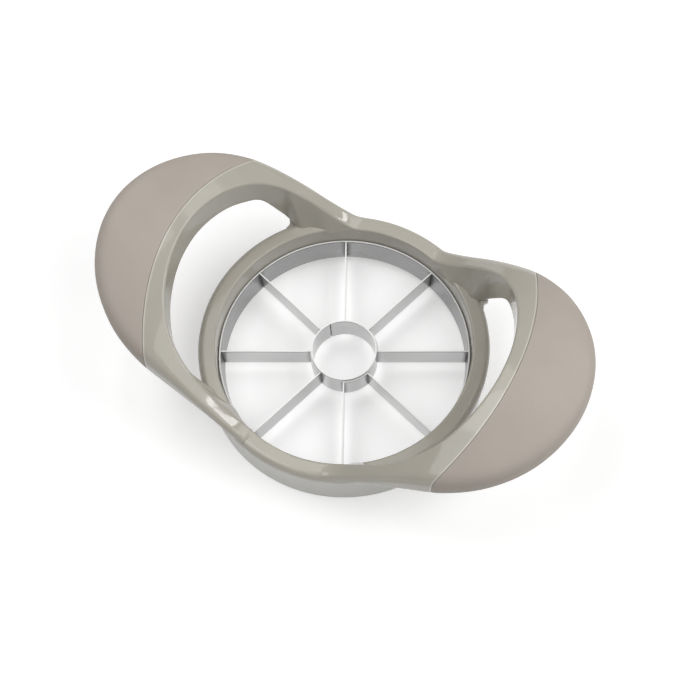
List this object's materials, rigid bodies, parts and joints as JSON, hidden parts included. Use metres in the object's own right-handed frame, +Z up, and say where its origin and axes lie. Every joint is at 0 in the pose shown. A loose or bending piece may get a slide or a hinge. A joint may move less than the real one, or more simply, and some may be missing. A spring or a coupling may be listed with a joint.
{
  "type": "apple slicer",
  "caption": "Press-down apple wedger and corer: a round steel cutter with a core ring in a plastic frame, two raised loop handles with soft grips and a base ring.",
  "frame": {"origin": "centre of the base ring's lower edge, on the table", "axes": "+Z up, the way the apple comes from; X along the two loop handles, Y across them; the soft grips are at -X and +X"},
  "size_m": [0.1798, 0.1046, 0.0597],
  "materials": {
    "frame_plastic": "satin gloss, warm grey",
    "grip_rubber": "matte, warm grey",
    "base_plastic": "matte, cool grey",
    "blade_steel": "fine satin"
  },
  "bodies": {
    "root": {"handle_frame": "frame_plastic", "left_grip": "grip_rubber", "right_grip": "grip_rubber", "base_ring": "base_plastic", "outer_band": "blade_steel", "core_ring": "blade_steel", "double_blade_1": "blade_steel", "double_blade_2": "blade_steel", "double_blade_3": "blade_steel", "double_blade_4": "blade_steel"}
  },
  "joints": []
}
